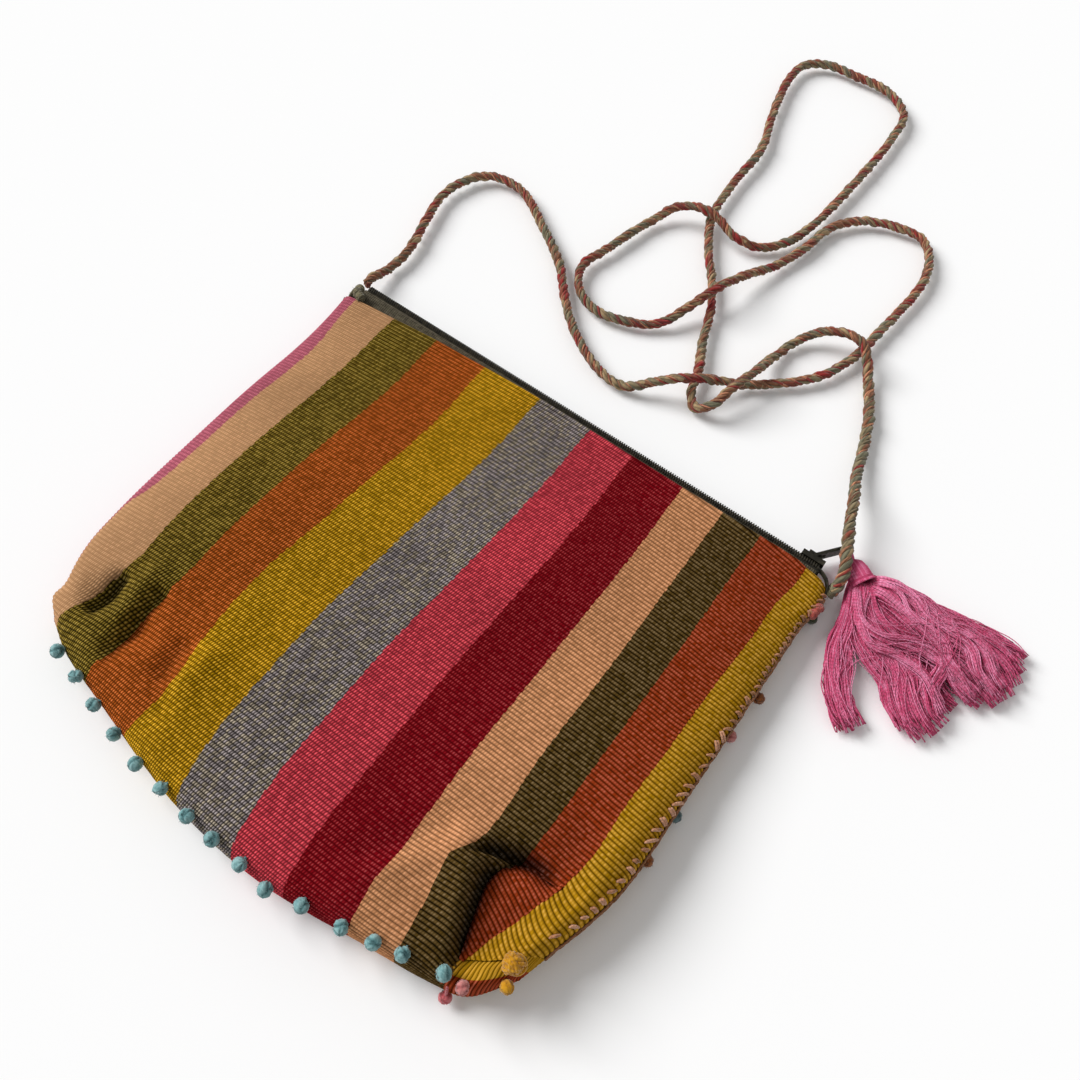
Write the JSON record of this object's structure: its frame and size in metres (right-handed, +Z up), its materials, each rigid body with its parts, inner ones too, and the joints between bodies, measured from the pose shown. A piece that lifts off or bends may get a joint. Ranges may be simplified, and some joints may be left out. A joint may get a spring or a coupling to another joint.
{
  "type": "cosmetic bag",
  "caption": "Striped hand-woven zip pouch with a boxed base, pompom trim along its seams, a thread tassel on the zip pull and a long twisted cord strap, lying on its back with the zip closed.",
  "frame": {"origin": "on the table, under the middle of the bag's flat back", "axes": "+X along the zip towards its closed end, +Y from the boxed base towards the zip, +Z up out of the bag's front"},
  "size_m": [0.3011, 0.4465, 0.0245],
  "materials": {
    "woven_cloth": "ribbed hand weave in stripes",
    "zip_tape": "woven tape",
    "zip_coil": "satin nylon",
    "blackened_metal": "worn black",
    "tassel_thread": "soft thread",
    "strap_thread": "twisted strands",
    "teal_wool": "fuzzy wool",
    "dark_green_wool": "fuzzy wool",
    "rust_wool": "fuzzy wool",
    "pale_pink_wool": "fuzzy wool",
    "grey_teal_wool": "fuzzy wool",
    "yellow_wool": "fuzzy wool"
  },
  "bodies": {
    "bag": {"pouch_cloth": "woven_cloth", "zip_tape_front": "zip_tape", "zip_tape_back": "zip_tape", "zip_coil_front": "zip_coil", "zip_coil_back": "zip_coil", "strap_tack_left": "strap_thread", "strap_tack_right": "strap_thread", "strap_cord": "strap_thread", "front_pompom_01": "teal_wool", "front_pompom_02": "teal_wool", "front_pompom_03": "teal_wool", "front_pompom_04": "teal_wool", "front_pompom_05": "teal_wool", "front_pompom_06": "teal_wool", "front_pompom_07": "teal_wool", "front_pompom_08": "teal_wool", "front_pompom_09": "teal_wool", "front_pompom_10": "teal_wool", "front_pompom_11": "teal_wool", "front_pompom_12": "teal_wool", "front_pompom_13": "teal_wool", "front_pompom_14": "teal_wool", "front_pompom_15": "teal_wool", "side_pompom_01": "dark_green_wool", "side_pompom_02": "rust_wool", "side_pompom_03": "pale_pink_wool", "side_pompom_04": "grey_teal_wool", "side_pompom_05": "rust_wool", "corner_pompom_pink_01": "pale_pink_wool", "corner_pompom_pink_02": "pale_pink_wool", "corner_pompom_yellow_01": "yellow_wool", "corner_pompom_yellow_02": "yellow_wool"},
    "slider": {"zip_slider": "blackened_metal"},
    "pull": {"pull_tab": "blackened_metal"},
    "tassel": {"tassel_threads": "tassel_thread", "tassel_binding": "tassel_thread"}
  },
  "joints": [
    {"name": "slider_slide", "type": "slide", "parent": "bag", "child": "slider", "axis": [1, 0, 0], "range_m": [-0.188, 0], "deforming": ["tassel_threads", "tassel_binding"]},
    {"name": "pull_swing", "type": "hinge", "parent": "slider", "child": "pull", "pos_m": [0.1005, 0.1006, 0.0045], "axis": [0, 0, 1], "range_deg": [0, 115]},
    {"name": "tassel_swing", "type": "hinge", "parent": "pull", "child": "tassel", "pos_m": [0.10807, 0.11029, 0.0045], "axis": [0, 0, 1], "range_deg": [-20, 20]}
  ]
}
